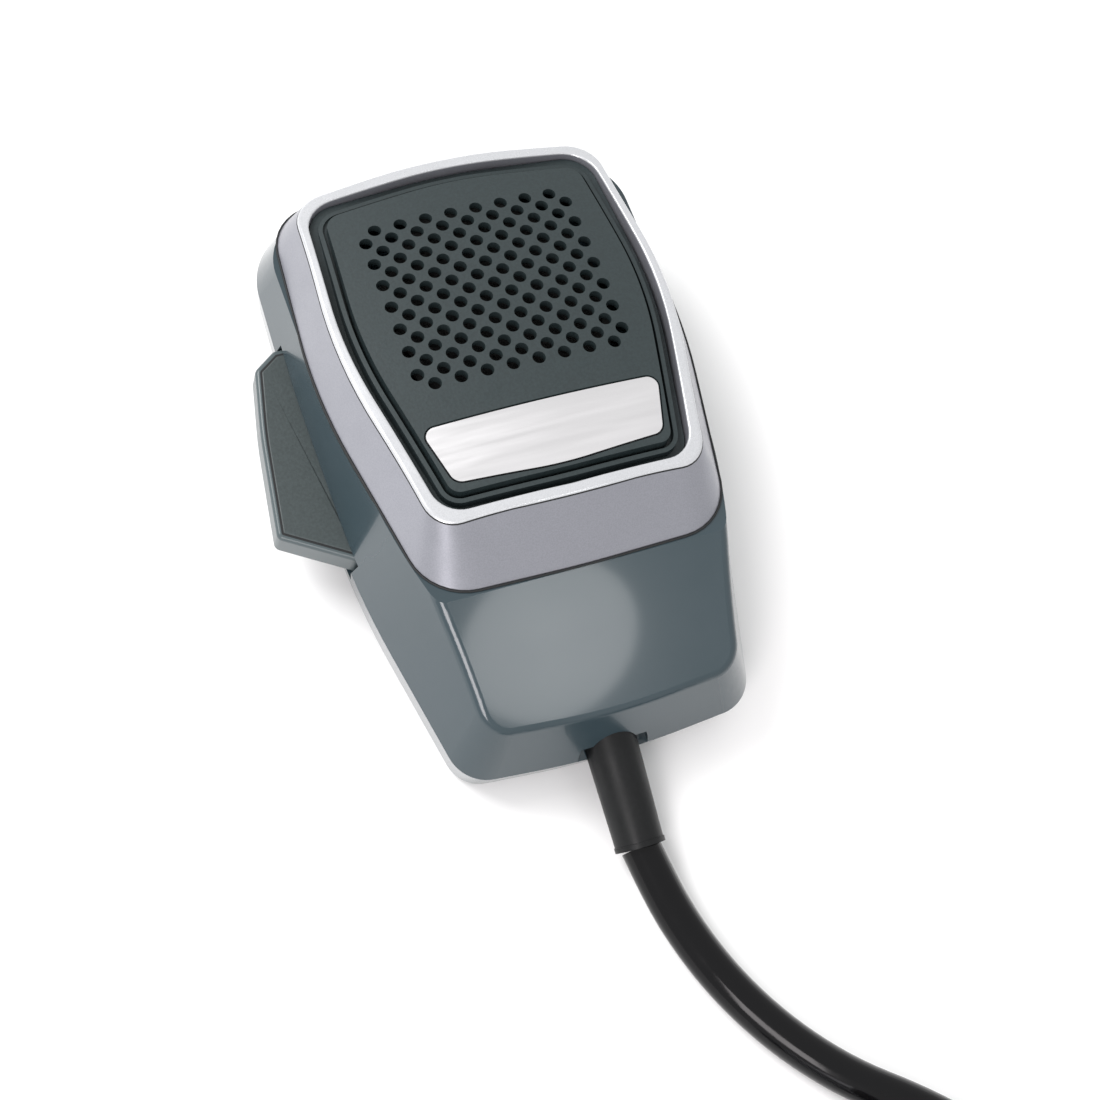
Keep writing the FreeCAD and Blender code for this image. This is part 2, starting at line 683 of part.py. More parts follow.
def along_x(x, y, z):
    """Placement whose +Z is +X."""
    return Placement(Vector(x, y, z), Rotation(Vector(0, 0, 1), Vector(1, 0, 0)))


def switch_plunger():
    """Plunger that the lever's nose pushes in."""
    return rod("plunger_body", "1.3", "3.4", along_x(-25.9, size("nose_y"), 0))


def switch_screws():
    """Two screws through the switch into the rear cover's floor."""
    screws = []
    for i, (x, y) in enumerate(SWITCH_SCREWS):
        shank = rod(f"switch_screw_shank_{i}", "1", "9.8", at(x, y, -6.6))
        head = rod(f"switch_screw_head_{i}", "1.8", "1.3", at(x, y, 3.2))
        screws.append(fuse(f"switch_screw_{i}", shank, head))
    return compound("switch_screws_set", screws)


# Electronics and cord clamp

def circuit_board():
    """Board with its four screw holes."""
    sheet_of_glass = block("board_sheet", ("30", "32", "board_thick"), at(-13, -54, BOARD_LOW))
    holes = [rod(f"board_hole_{i}", "1.1", "6", at(x, y, -6.0)) for i, (x, y) in enumerate(BOARD_SCREWS)]
    return cut("board_body", sheet_of_glass, *holes)


def board_screws():
    """Four small screws into the board's posts."""
    screws = []
    top = BOARD_LOW + size("board_thick")
    for i, (x, y) in enumerate(BOARD_SCREWS):
        head = rod(f"board_screw_head_{i}", "1.9", "1.2", at(x, y, top))
        shank = rod(f"board_screw_shank_{i}", "1.1", "board_thick", at(x, y, BOARD_LOW))
        screws.append(fuse(f"board_screw_{i}", head, shank))
    return compound("board_screws_set", screws)


def board_chip():
    """Flat amplifier chip with legs at both sides."""
    top = BOARD_LOW + size("board_thick")
    case = block("chip_case", ("6", "10", "2"), at(-3, -44, top + 0.4))
    legs = []
    for side in (-4.0, 3.0):
        for row in range(7):
            place = at(side, -43.3 + row * 1.35, top)
            legs.append(block(f"chip_leg_{len(legs)}", ("1.0", "0.5", "1"), place))
    return fuse("board_chip_body", case, *legs)


def board_capacitors():
    """Three upright capacitors."""
    top = BOARD_LOW + size("board_thick")
    cans = [rod(f"capacitor_{i}", "2.2", "5.5", at(9.5, -46.0 + i * 6.4, top)) for i in range(3)]
    return compound("board_capacitors_set", cans)


def board_connector():
    """Connector at the board's cord end."""
    top = BOARD_LOW + size("board_thick")
    case = block("connector_case", ("12", "4.5", "5"), at(-6, -53.5, top))
    slots = [block(f"connector_slot_{i}", ("1.4", "3", "3.4"), at(-5 + i * 2.15, -54.2, top + 1.0))
             for i in range(5)]
    return cut("board_connector_body", case, *slots)


def capsule_wires():
    """Two wires from the capsule down to the board."""
    wires = []
    for x in (-2.0, 2.0):
        points = [(x, -6.0, 8.0), (x, -11.0, 4.5), (x, -17.0, 0.5), (x, -24.0, -1.2), (x, -30.0, -2.2)]
        wires.append(tube(f"capsule_wire_{len(wires)}", points, 0.5))
    return compound("capsule_wires_set", wires)


def cord_wires():
    """Five wires from the cord's end into the connector."""
    wires = []
    for i in range(5):
        start = Vector(-1.6 + i * 0.8, -60.4, 2.0)
        end = Vector(-4.3 + i * 2.15, -53.8, 0.0)
        wire = document.addObject("Part::Cylinder", f"cord_wire_{i}")
        wire.Radius = 0.5
        wire.Height = start.distanceToPoint(end)
        wire.Placement = Placement(start, Rotation(Vector(0, 0, 1), end - start))
        wires.append(wire)
    return compound("cord_wires_set", wires)


def cord_clamp():
    """Bar across the cord with two screw holes."""
    bar = block("clamp_bar", ("20", "4", "1.8"), at(-10, CLAMP_Y - 2, 4.75))
    holes = [rod(f"clamp_hole_{i}", "1.1", "4", at(x, CLAMP_Y, 3.8)) for i, x in enumerate((-7.5, 7.5))]
    return cut("cord_clamp_body", bar, *holes)


def clamp_screws():
    """Two screws on the clamp bar."""
    screws = []
    for i, x in enumerate((-CLAMP_SPREAD, CLAMP_SPREAD)):
        head = rod(f"clamp_screw_head_{i}", "1.9", "1.3", at(x, CLAMP_Y, 6.55))
        shank = rod(f"clamp_screw_shank_{i}", "1.1", "1.8", at(x, CLAMP_Y, 4.75))
        screws.append(fuse(f"clamp_screw_{i}", head, shank))
    return compound("clamp_screws_set", screws)


# Hang-up button

def button_neck():
    """Round spacer between the rear cover and the button's head."""
    low = -size("rear_depth") - size("neck_height")
    neck = rod("neck_blank", "neck_radius", "neck_height", at(0, size("button_y"), low))
    bore = rod("neck_bore", "1.6", "neck_height", at(0, size("button_y"), low))
    return cut("button_neck_body", neck, bore)


def button_head():
    """Round head that hooks into a hanger."""
    low = -size("rear_depth") - size("neck_height") - size("head_height")
    head = rod("head_blank", "head_radius", "head_height", at(0, size("button_y"), low))
    bore = rod("head_bore", "1.6", "head_height", at(0, size("button_y"), low))
    sink = cone("head_sink", "3.0", "1.6", "1.4", at(0, size("button_y"), low))
    return cut("button_head_body", head, bore, sink)


def button_screw():
    """Countersunk screw that holds the button."""
    low = -size("rear_depth") - size("neck_height") - size("head_height") + 0.1
    head = cone("button_screw_head", "2.8", "1.5", "1.3", at(0, size("button_y"), low))
    shank = rod("button_screw_shank", "1.5", "11.2", at(0, size("button_y"), low + 1.3))
    drive = block("button_screw_drive", ("5.6", "0.8", "0.6"), at(-2.8, size("button_y") - 0.4, low))
    return cut("button_screw_body", fuse("button_screw_blank", head, shank), drive)


# Strain relief and cord

def strain_relief():
    """Rubber sleeve with a flange inside the case and a lip at its end."""
    frame = relief_frame()
    length = size("relief_length")
    flange_low = -size("flange_in")
    sleeve = cone("relief_sleeve", "relief_radius", "relief_end", "relief_length - relief_lip",
                  at(0, 0, 0, frame))
    lip = rod("relief_lip_ring", "relief_end + 0.15", "relief_lip",
              at(0, 0, length - size("relief_lip"), frame))
    neck = rod("relief_neck", "relief_radius", "flange_in", at(0, 0, flange_low, frame))
    flange = rod("relief_flange", "flange_radius", "flange_thick", at(0, 0, flange_low, frame))
    bore = rod("relief_bore", "cord_radius", "relief_length + flange_in + 2", at(0, 0, flange_low - 1, frame))
    return cut("strain_relief_body", fuse("relief_blank", sleeve, lip, neck, flange), bore)


def cord_inside():
    """Cord from the strain relief's end back to the clamp."""
    return rod("cord_inside_body", "cord_radius", "cord_inside + relief_length",
               at(0, 0, -size("cord_inside"), relief_frame()))


def tube(name, points, radius):
    """Round cord along straight runs joined by tangent arcs; prints its radii and its volume's error."""
    corners = [Vector(*point) for point in points]
    edges = []
    radii = []
    start = corners[0]
    for before, here, after in zip(corners, corners[1:], corners[2:]):
        to_last = before - here
        to_next = after - here
        shorter = min(to_last.Length, to_next.Length)
        half = to_last.getAngle(to_next) / 2
        reach = 0.45 * shorter
        bend = reach * math.tan(half)
        radii.append(bend)
        first = here + to_last.normalize() * reach
        last = here + to_next.normalize() * reach
        middle = here + (to_last + to_next).normalize() * (bend / math.sin(half) - bend)
        edges.append(Part.LineSegment(start, first).toShape())
        edges.append(Part.Arc(first, middle, last).toShape())
        start = last
    edges.append(Part.LineSegment(start, corners[-1]).toShape())
    spine = Part.Wire(edges)
    ring = Part.Wire(Part.makeCircle(radius, corners[0], corners[1] - corners[0]))
    item = document.addObject("Part::Feature", name)
    item.Shape = spine.makePipeShell([ring], True, False)
    error = item.Shape.Volume / (math.pi * radius ** 2 * spine.Length) - 1
    bends = [round(bend, 1) for bend in radii]
    print(f"{name}: length {spine.Length:.1f}, radii {bends}, volume {error:+.2%}")
    return item


def relief_exit():
    """Middle of the strain relief's end in the final frame."""
    frame = case_frame().multiply(relief_frame())
    return tuple(frame.multVec(Vector(0, 0, size("relief_length"))))


def curly_cord():
    """Outside of the curly part, bent on the table."""
    item = document.addObject("Part::Torus", "coil_body")
    start = size("coil_start") - size("coil_sweep")
    item.Placement = Placement(Vector(size("coil_middle_x"), size("coil_middle_y"), size("coil_radius")),
                               Rotation(Vector(0, 0, 1), start))
    return bind(item, Radius1="coil_bend", Radius2="coil_radius", Angle3="coil_sweep")


# Plug, along +X of the final frame

def plug_at(along, y=0.0, z=0.0):
    """Placement along the plug's axis from the cord's entry, +Z pointing to the plug's mouth."""
    x0, y0, z0 = PLUG_PLACE
    return along_x(x0 + along, y0 + y, z0 + z)


def plug_boot():
    """Rubber boot where the cord enters the plug."""
    sleeve = cone("boot_sleeve", "3.9", "5.6", "8", plug_at(0))
    seat = rod("boot_seat", "plug_radius - plug_wall", "3", plug_at(8))
    return fuse("plug_boot_body", sleeve, seat)


def plug_shell():
    """Metal tube of the plug, with two threaded holes for its clamp screws."""
    tube_out = rod("shell_out", "plug_radius", "plug_shell_length", plug_at(8))
    room = rod("shell_room", "plug_radius - plug_wall", "plug_shell_length", plug_at(8))
    stop = rod("shell_stop_out", "plug_radius - plug_wall + 0.1", "1.5", plug_at(11))
    stop_room = rod("shell_stop_room", "plug_radius - plug_wall - 1", "1.5", plug_at(11))
    holes = [plug_screw_hole(i) for i in range(2)]
    shell = fuse("shell_with_stop", cut("shell_tube", tube_out, room), cut("shell_stop", stop, stop_room))
    return cut("plug_shell_body", shell, *holes)


def plug_screw_hole(index):
    """Hole through the shell's top wall."""
    x0, y0, z0 = PLUG_PLACE
    return rod(f"plug_hole_{index}", "1.2", "3", at(x0 + 14.5 + index * 4.5, y0, z0 + 4.8))


def plug_screws():
    """Two clamp screws in the shell's top wall."""
    x0, y0, z0 = PLUG_PLACE
    screws = []
    for index in range(2):
        x = x0 + 14.5 + index * 4.5
        blank = rod(f"plug_screw_blank_{index}", "1.2", "2.2", at(x, y0, z0 + 4.9))
        drive = block(f"plug_screw_drive_{index}", ("2.6", "0.5", "0.6"), at(x - 1.3, y0 - 0.25, z0 + 6.6))
        screws.append(cut(f"plug_screw_{index}", blank, drive))
    return compound("plug_screws_set", screws)


def coupling_ring():
    """Threaded ring that turns freely on the shell's front."""
    blank = rod("ring_blank", "ring_radius", "ring_length", plug_at(25))
    seat = rod("ring_seat", "plug_radius + ring_clearance", "ring_length", plug_at(24))
    mouth = rod("ring_mouth", "ring_radius - 1.1", "6", plug_at(29.5))
    return cut("coupling_ring_body", blank, seat, mouth)


def contact_places(along):
    """Placements of the contacts: one in the middle and the rest around it."""
    places = [plug_at(along)]
    for index in range(CONTACT_COUNT):
        angle = math.tau * index / CONTACT_COUNT
        places.append(plug_at(along, CONTACT_CIRCLE * math.cos(angle), CONTACT_CIRCLE * math.sin(angle)))
    return places


def plug_insert():
    """Insulating disc that carries the contacts."""
    disc = rod("insert_disc", "plug_radius - plug_wall - 0.02", "9", plug_at(24))
    holes = [rod(f"insert_hole_{i}", "0.8", "11", place) for i, place in enumerate(contact_places(23))]
    return cut("plug_insert_body", disc, *holes)


def plug_contacts():
    """Hollow contacts, open towards the mouth."""
    contacts = []
    for i, (outer, inner) in enumerate(zip(contact_places(21), contact_places(27))):
        pin = rod(f"contact_pin_{i}", "0.8", "12", outer)
        bore = rod(f"contact_bore_{i}", "0.5", "6.5", inner)
        contacts.append(cut(f"contact_{i}", pin, bore))
    return compound("plug_contacts_set", contacts)


# The whole part

def build():
    """Makes every sub-part and puts it in the final frame."""
    case = case_frame()
    face = case.multiply(face_frame())
    final = Placement()
    exit_point = relief_exit()
    table = [
        ("front_cover", front_cover(), case),
        ("rear_cover", rear_cover(), case),
        ("cover_screws", cover_screws(), case),
        ("bezel", bezel(), face),
        ("grille_frame", grille_frame(), face),
        ("grille_panel", grille_panel(), face),
        ("nameplate", nameplate(), face),
        ("acoustic_cloth", acoustic_cloth(), face),
        ("mic_capsule", mic_capsule(), face),
        ("capsule_boot", capsule_boot(), face),
        ("ptt_lever", ptt_lever(), case),
        ("ptt_pivot_pin", ptt_pivot_pin(), case),
        ("ptt_return_spring", ptt_return_spring(), case),
        ("switch_body", switch_body(), case),
        ("switch_plunger", switch_plunger(), case),
        ("switch_screws", switch_screws(), case),
        ("circuit_board", circuit_board(), case),
        ("board_screws", board_screws(), case),
        ("board_chip", board_chip(), case),
        ("board_capacitors", board_capacitors(), case),
        ("board_connector", board_connector(), case),
        ("capsule_wires", capsule_wires(), case),
        ("cord_wires", cord_wires(), case),
        ("cord_clamp", cord_clamp(), case),
        ("clamp_screws", clamp_screws(), case),
        ("button_neck", button_neck(), case),
        ("button_head", button_head(), case),
        ("button_screw", button_screw(), case),
        ("strain_relief", strain_relief(), case),
        ("cord_inside", cord_inside(), case),
        ("cord_lead", tube("lead_body", [exit_point] + LEAD_ROUTE, size("cord_radius")), final),
        ("curly_cord", curly_cord(), final),
        ("cord_tail", tube("tail_body", TAIL_ROUTE, size("cord_radius")), final),
        ("plug_boot", plug_boot(), final),
        ("plug_shell", plug_shell(), final),
        ("plug_screws", plug_screws(), final),
        ("coupling_ring", coupling_ring(), final),
        ("plug_insert", plug_insert(), final),
        ("plug_contacts", plug_contacts(), final),
    ]
    for label, item, frame in table:
        item.Label = label
        item.Placement = frame.multiply(item.Placement)
        nodes[label] = item
    document.recompute()


def check():
    """Stops if any object failed or any sub-part's shape is unusable."""
    for item in document.Objects:
        if "Invalid" in item.State or "Error" in item.State:
            raise RuntimeError(f"{item.Name} ({item.Label}) failed: {item.State}")
    for label, item in nodes.items():
        if item.Shape.isNull() or not item.Shape.isValid() or item.Shape.Volume <= 0:
            raise RuntimeError(f"{label} has no usable shape")


def write():
    """Writes one STEP file for each sub-part."""
    os.makedirs("parts", exist_ok=True)
    for label, item in nodes.items():
        item.Shape.exportStep(f"parts/{label}.step")
        box = item.Shape.BoundBox
        print(f"{label}: {len(item.Shape.Solids)} solids, {item.Shape.Volume:.1f} mm3, "
              f"x {box.XMin:.2f} {box.XMax:.2f} y {box.YMin:.2f} {box.YMax:.2f} "
              f"z {box.ZMin:.2f} {box.ZMax:.2f}")


fill_sheet()
build()
check()
write()
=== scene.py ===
"""Hand microphone: Blender materials, cord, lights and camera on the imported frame."""

import math

import bpy
from mathutils import Matrix, Vector


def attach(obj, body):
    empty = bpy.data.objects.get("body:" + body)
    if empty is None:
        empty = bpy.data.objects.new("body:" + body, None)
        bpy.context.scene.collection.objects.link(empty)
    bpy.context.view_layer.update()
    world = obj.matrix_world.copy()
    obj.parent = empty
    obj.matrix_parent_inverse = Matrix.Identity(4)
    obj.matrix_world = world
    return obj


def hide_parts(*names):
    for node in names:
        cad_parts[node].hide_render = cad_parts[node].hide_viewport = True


MM = 0.001


# Materials

def shade(name, color, roughness, metallic=0.0, coat=0.0, coat_roughness=0.1, specular=0.5):
    """New material with its Principled shader."""
    material = bpy.data.materials.new(name)
    material.use_nodes = True
    shader = material.node_tree.nodes["Principled BSDF"]
    shader.inputs["Base Color"].default_value = (*color, 1.0)
    shader.inputs["Roughness"].default_value = roughness
    shader.inputs["Metallic"].default_value = metallic
    shader.inputs["Coat Weight"].default_value = coat
    shader.inputs["Coat Roughness"].default_value = coat_roughness
    shader.inputs["Specular IOR Level"].default_value = specular
    return material


def noise(material, scale, detail=3.0, stretch=(1, 1, 1)):
    """Noise in object coordinates; scale counts features per metre."""
    nodes = material.node_tree.nodes
    links = material.node_tree.links
    where = nodes.new("ShaderNodeTexCoord")
    mapping = nodes.new("ShaderNodeMapping")
    mapping.inputs["Scale"].default_value = stretch
    texture = nodes.new("ShaderNodeTexNoise")
    texture.inputs["Scale"].default_value = scale
    texture.inputs["Detail"].default_value = detail
    links.new(where.outputs["Object"], mapping.inputs["Vector"])
    links.new(mapping.outputs["Vector"], texture.inputs["Vector"])
    return texture.outputs["Fac"]


def relief(material, height, strength, distance):
    """Adds a bump on top of any earlier one."""
    nodes = material.node_tree.nodes
    links = material.node_tree.links
    shader = nodes["Principled BSDF"]
    bump = nodes.new("ShaderNodeBump")
    bump.inputs["Strength"].default_value = strength
    bump.inputs["Distance"].default_value = distance
    links.new(height, bump.inputs["Height"])
    if shader.inputs["Normal"].links:
        links.new(shader.inputs["Normal"].links[0].from_socket, bump.inputs["Normal"])
    links.new(bump.outputs["Normal"], shader.inputs["Normal"])


def vary(material, factor, name, low, high, start=0.35, end=0.65):
    """Drives a shader input between two values or colours."""
    nodes = material.node_tree.nodes
    links = material.node_tree.links
    ramp = nodes.new("ShaderNodeValToRGB")
    ramp.color_ramp.elements[0].position = start
    ramp.color_ramp.elements[1].position = end
    ramp.color_ramp.elements[0].color = (*low, 1.0)
    ramp.color_ramp.elements[1].color = (*high, 1.0)
    links.new(factor, ramp.inputs["Fac"])
    links.new(ramp.outputs["Color"], nodes["Principled BSDF"].inputs[name])


def grey(value):
    """Equal parts, for a driven roughness."""
    return (value, value, value)


def glossy_case():
    """Moulded case, slate blue-grey with a polished skin."""
    material = shade("case_gloss", (0.029, 0.047, 0.056), 0.2, coat=0.5, coat_roughness=0.05, specular=0.3)
    vary(material, noise(material, 60), "Base Color", (0.027, 0.045, 0.054), (0.031, 0.049, 0.059))
    vary(material, noise(material, 120, detail=2), "Roughness", grey(0.19), grey(0.21))
    return material


def silver_paint(name, color, roughness):
    """Fine metallic paint."""
    material = shade(name, color, roughness, metallic=0.45, coat=0.15, coat_roughness=0.15)
    lighter = tuple(min(channel * 1.06, 1.0) for channel in color)
    darker = tuple(channel * 0.94 for channel in color)
    vary(material, noise(material, 5000, detail=2), "Base Color", darker, lighter)
    vary(material, noise(material, 200, detail=5), "Roughness", grey(roughness - 0.04),
         grey(roughness + 0.05))
    relief(material, noise(material, 3500, detail=2), 0.08, 0.00005)
    return material


def grained(name, color, roughness, grain=2200, depth=0.25):
    """Plastic or rubber with a fine spark-eroded grain."""
    material = shade(name, color, roughness)
    lighter = tuple(channel * 1.12 for channel in color)
    darker = tuple(channel * 0.88 for channel in color)
    vary(material, noise(material, grain, detail=4), "Base Color", darker, lighter)
    vary(material, noise(material, grain / 8, detail=5), "Roughness", grey(roughness - 0.05),
         grey(roughness + 0.07))
    relief(material, noise(material, grain, detail=4), depth, 0.00012)
    return material


def metal(name, color, roughness, scratches=(1, 1, 1)):
    """Bare metal with fine marks along one direction."""
    material = shade(name, color, roughness, metallic=1.0)
    vary(material, noise(material, 700, detail=6, stretch=scratches), "Roughness", grey(roughness - 0.06),
         grey(roughness + 0.08))
    relief(material, noise(material, 1500, detail=4, stretch=scratches), 0.08, 0.00004)
    return material


def woven_cloth():
    """Black acoustic cloth."""
    material = grained("cloth_black", (0.012, 0.012, 0.012), 0.9, grain=3000, depth=0.6)
    material.node_tree.nodes["Principled BSDF"].inputs["Sheen Weight"].default_value = 0.2
    return material


def cord_jacket():
    """Glossy black jacket of the cord."""
    material = shade("cord_black", (0.003, 0.003, 0.0035), 0.14, specular=0.22)
    vary(material, noise(material, 150, detail=4), "Roughness", grey(0.11), grey(0.18))
    relief(material, noise(material, 400, detail=2), 0.03, 0.0002)
    return material


# Frame

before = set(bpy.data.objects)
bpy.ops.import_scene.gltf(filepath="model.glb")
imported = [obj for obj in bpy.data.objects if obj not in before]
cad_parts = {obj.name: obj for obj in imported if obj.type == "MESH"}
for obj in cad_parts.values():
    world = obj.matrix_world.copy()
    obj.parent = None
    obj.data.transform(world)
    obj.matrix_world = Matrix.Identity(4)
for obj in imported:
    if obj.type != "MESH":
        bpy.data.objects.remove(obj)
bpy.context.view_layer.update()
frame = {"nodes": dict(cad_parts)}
nodes = frame["nodes"]


# Camera

CAMERA_PLACE = (-0.093026, -0.122315, 0.329257)
CAMERA_RIGHT = Vector((0.92934, -0.32855, 0.16844))
CAMERA_UP = Vector((0.24185, 0.88644, 0.39465))
CAMERA_BACK = Vector((-0.27898, -0.32602, 0.90326))


def add_camera():
    """Camera above the tail end, to the left of the cord."""
    data = bpy.data.cameras.new("camera")
    data.lens = 72.0
    data.sensor_width = 36.0
    data.clip_start = 0.01
    camera = bpy.data.objects.new("camera", data)
    camera.location = CAMERA_PLACE
    camera.rotation_euler = Matrix((CAMERA_RIGHT, CAMERA_UP, CAMERA_BACK)).transposed().to_euler()
    bpy.context.collection.objects.link(camera)
    bpy.context.scene.camera = camera


# Outlines shared with the CAD parts: x, y and rounding radius of each corner

DOME_RADIUS = 205.0
DOME_Y = -9.6
BEZEL_DEPTH = 10.5
BEZEL_RIM = [(0, 25.4, 90), (23.5, 22.25, 4.6), (27.5, -6.8, 70), (20.9, -34.1, 4.1), (0, -36.1, 120)]
OPENING = [(0, 24.05, 90), (24.0, 22.1, 5.5), (26.15, -5.8, 70), (20.1, -35.5, 5), (0, -35.95, 200)]
BEZEL_REAR = [(0, 28.4, 120), (28.2, 25.8, 8), (30.8, -7.8, 90), (24.3, -45.2, 9), (0, -45.8, 200)]
LEVER = [
    (-33.0, 3.7, 0.9),
    (-36.7, 1.2, 1.5),
    (-38.9, -9.5, 80),
    (-41.1, -26.6, 1.2),
    (-30.0, -33.3, 1.0),
    (-28.8, -33.3, 0.5),
    (-28.8, -2.0, 0.5),
    (-25.6, -2.0, 2.2),
    (-25.6, 2.6, 2.2),
    (-30.0, 3.7, 1.0),
]
LEVER_TOP = 2.5
GROOVE_INSET = 0.75
GROOVE_WIDTH = 0.35


CASE_PLACE = (4.337, 30.912, 15.326)
CASE_TILT = 5.7
FACE_RISE = 21.21
FACE_TILT = 8.8


# Mesh helpers

def case_matrix():
    """Frame of the case, whose seam is z = 0, from millimetres to metres."""
    place = Matrix.Translation([length * MM for length in CASE_PLACE])
    return place @ Matrix.Rotation(math.radians(CASE_TILT), 4, "X") @ Matrix.Scale(MM, 4)


def face_matrix():
    """Frame of the domed face, tangent to its apex, in metres."""
    rise = Matrix.Translation((0, 0, FACE_RISE))
    return case_matrix() @ rise @ Matrix.Rotation(math.radians(-FACE_TILT), 4, "X")


def add_mesh(name, points, faces, place, material, smooth=True):
    """Mesh whose points are millimetres of the frame that place gives."""
    mesh = bpy.data.meshes.new(name)
    mesh.from_pydata([tuple(place @ Vector(point)) for point in points], [], faces)
    mesh.validate()
    mesh.materials.append(material)
    for polygon in mesh.polygons:
        polygon.use_smooth = smooth
    item = bpy.data.objects.new(name, mesh)
    bpy.context.collection.objects.link(item)
    return item


def rounded(corners, arc_steps=8, side_steps=6):
    """Points of a closed outline from corners of x, y and rounding radius."""
    ends = []
    count = len(corners)
    for index, (x, y, radius) in enumerate(corners):
        here = Vector((x, y, 0))
        to_last = (Vector((*corners[index - 1][:2], 0)) - here).normalized()
        to_next = (Vector((*corners[(index + 1) % count][:2], 0)) - here).normalized()
        half = to_last.angle(to_next) / 2
        reach = radius / math.tan(half)
        middle = here + (to_last + to_next).normalized() * (radius / math.sin(half))
        ends.append((here + to_last * reach, middle, here + to_next * reach))
    points = []
    for index, (start, middle, end) in enumerate(ends):
        radius = (start - middle).length
        for step in range(arc_steps + 1):
            way = (start - middle).slerp(end - middle, step / arc_steps)
            points.append(middle + way * radius)
        following = ends[(index + 1) % count][0]
        for step in range(1, side_steps):
            points.append(end.lerp(following, step / side_steps))
    return points


def inset(corners, distance):
    """Corners moved inwards for a clockwise outline."""
    moved = []
    count = len(corners)
    for index, (x, y, radius) in enumerate(corners):
        before = corners[index - 1]
        after = corners[(index + 1) % count]
        way_in = Vector((x - before[0], y - before[1], 0)).normalized()
        way_out = Vector((after[0] - x, after[1] - y, 0)).normalized()
        normal_in = Vector((way_in.y, -way_in.x, 0))
        normal_out = Vector((way_out.y, -way_out.x, 0))
        step = (normal_in + normal_out) * (distance / (1 + normal_in.dot(normal_out)))
        moved.append((x + step.x, y + step.y, max(radius - distance, 0.05)))
    return moved


def mirrored(right):
    """Closed outline from its right half, whose first and last corners lie on the middle line."""
    return right + [(-x, y, radius) for x, y, radius in right[-2:0:-1]]


def stacked(rings, closed=False):
    """Points and faces between rings of equal count; closed joins the last ring to the first."""
    points = [point for ring in rings for point in ring]
    count = len(rings[0])
    faces = []
    total = len(rings)
    for row in range(total if closed else total - 1):
        for index in range(count):
            right = (index + 1) % count
            low = row * count
            high = (row + 1) % total * count
            faces.append((low + index, low + right, high + right, high + index))
    return points, faces


# Cord, in millimetres of the final frame; the strain relief's place is in the case's frame

RELIEF_PLACE = Vector((0, -73.26, 0.02))
RELIEF_DROOP = 8.9
RELIEF_LENGTH = 14.8
CORD_RADIUS = 3.2
LEAD_ROUTE = [
    (5.35, -63.7, 3.25),
    (6.85, -71.1, 3.25),
    (9.35, -78.7, 3.25),
    (12.95, -86.1, 3.25),
    (17.75, -93.3, 3.25),
    (23.75, -100.0, 3.25),
    (30.95, -105.8, 3.25),
    (37.3, -112.0, 3.25),
    (42.4, -118.2, 3.25),
]
TAIL_ROUTE = [
    (-47.2, -149.3, 3.25),
    (-47.4, -140.3, 3.25),
    (-44.1, -131.9, 3.9),
    (-37.8, -125.5, 6.0),
    (-29.5, -122.0, 8.4),
    (-20.5, -122.0, 9.2),
]
COIL_MIDDLE = Vector((0.35, -138.0, 8.75))
COIL_BEND = 48.0
COIL_START = 16.0
COIL_SWEEP = 172.0
COIL_TURNS = 18
COIL_LEAD_IN = 8.0
COIL_WIRE_RADIUS = 5.45
POINTS_PER_TURN = 16


def relief_exit():
    """Middle of the strain relief's end."""
    droop = math.radians(RELIEF_DROOP)
    along = Vector((0, -math.cos(droop), -math.sin(droop)))
    case = Matrix.Translation(CASE_PLACE) @ Matrix.Rotation(math.radians(CASE_TILT), 4, "X")
    return case @ (RELIEF_PLACE + along * RELIEF_LENGTH)


def coil_points():
    """Helix around the bend; it leaves and reaches the table along the bend at its two ends."""
    length = math.radians(COIL_SWEEP) * COIL_BEND
    pitch = (length - COIL_LEAD_IN) / COIL_TURNS
    count = COIL_TURNS * POINTS_PER_TURN
    points = []
    for index in range(count + 1):
        travelled = length * index / count
        from_end = min(travelled, length - travelled)
        eased = from_end - COIL_LEAD_IN / 2
        if from_end < COIL_LEAD_IN:
            eased = from_end ** 2 / (2 * COIL_LEAD_IN)
        turned = eased if travelled < length / 2 else length - COIL_LEAD_IN - eased
        phase = math.tau * turned / pitch
        angle = math.radians(COIL_START) - travelled / COIL_BEND
        outward = Vector((math.cos(angle), math.sin(angle), 0))
        sideways = outward * (COIL_WIRE_RADIUS * math.sin(phase))
        offset = sideways - Vector((0, 0, COIL_WIRE_RADIUS * math.cos(phase)))
        points.append(COIL_MIDDLE + outward * COIL_BEND + offset)
    return points


def spline_length(curve_object):
    """Length of a curve that has no bevel yet."""
    mesh = bpy.data.meshes.new_from_object(curve_object)
    corners = [vertex.co.copy() for vertex in mesh.vertices]
    bpy.data.meshes.remove(mesh)
    return sum((after - before).length for before, after in zip(corners, corners[1:]))


def nurbs_curve(name, points):
    """Open NURBS curve through control points in millimetres."""
    data = bpy.data.curves.new(name, "CURVE")
    data.dimensions = "3D"
    data.resolution_u = 4
    spline = data.splines.new("NURBS")
    spline.points.add(len(points) - 1)
    for target, point in zip(spline.points, points):
        target.co = (*(Vector(point) * MM), 1.0)
    spline.order_u = 3
    spline.use_endpoint_u = True
    curve = bpy.data.objects.new(name, data)
    bpy.context.collection.objects.link(curve)
    return curve


def add_cord(jacket):
    """Lead, curly part and tail as one cord with the plug on its end."""
    start = relief_exit()
    cord = nurbs_curve("cord", [start] + LEAD_ROUTE + coil_points() + TAIL_ROUTE)
    bpy.context.view_layer.update()
    length = spline_length(cord)
    cord.data.bevel_depth = CORD_RADIUS * MM
    cord.data.bevel_resolution = 6
    cord.data.use_fill_caps = True
    cord.data.materials.append(jacket)
    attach(cord, "housing")
    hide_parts("cord_lead", "curly_cord", "cord_tail")


# Stage

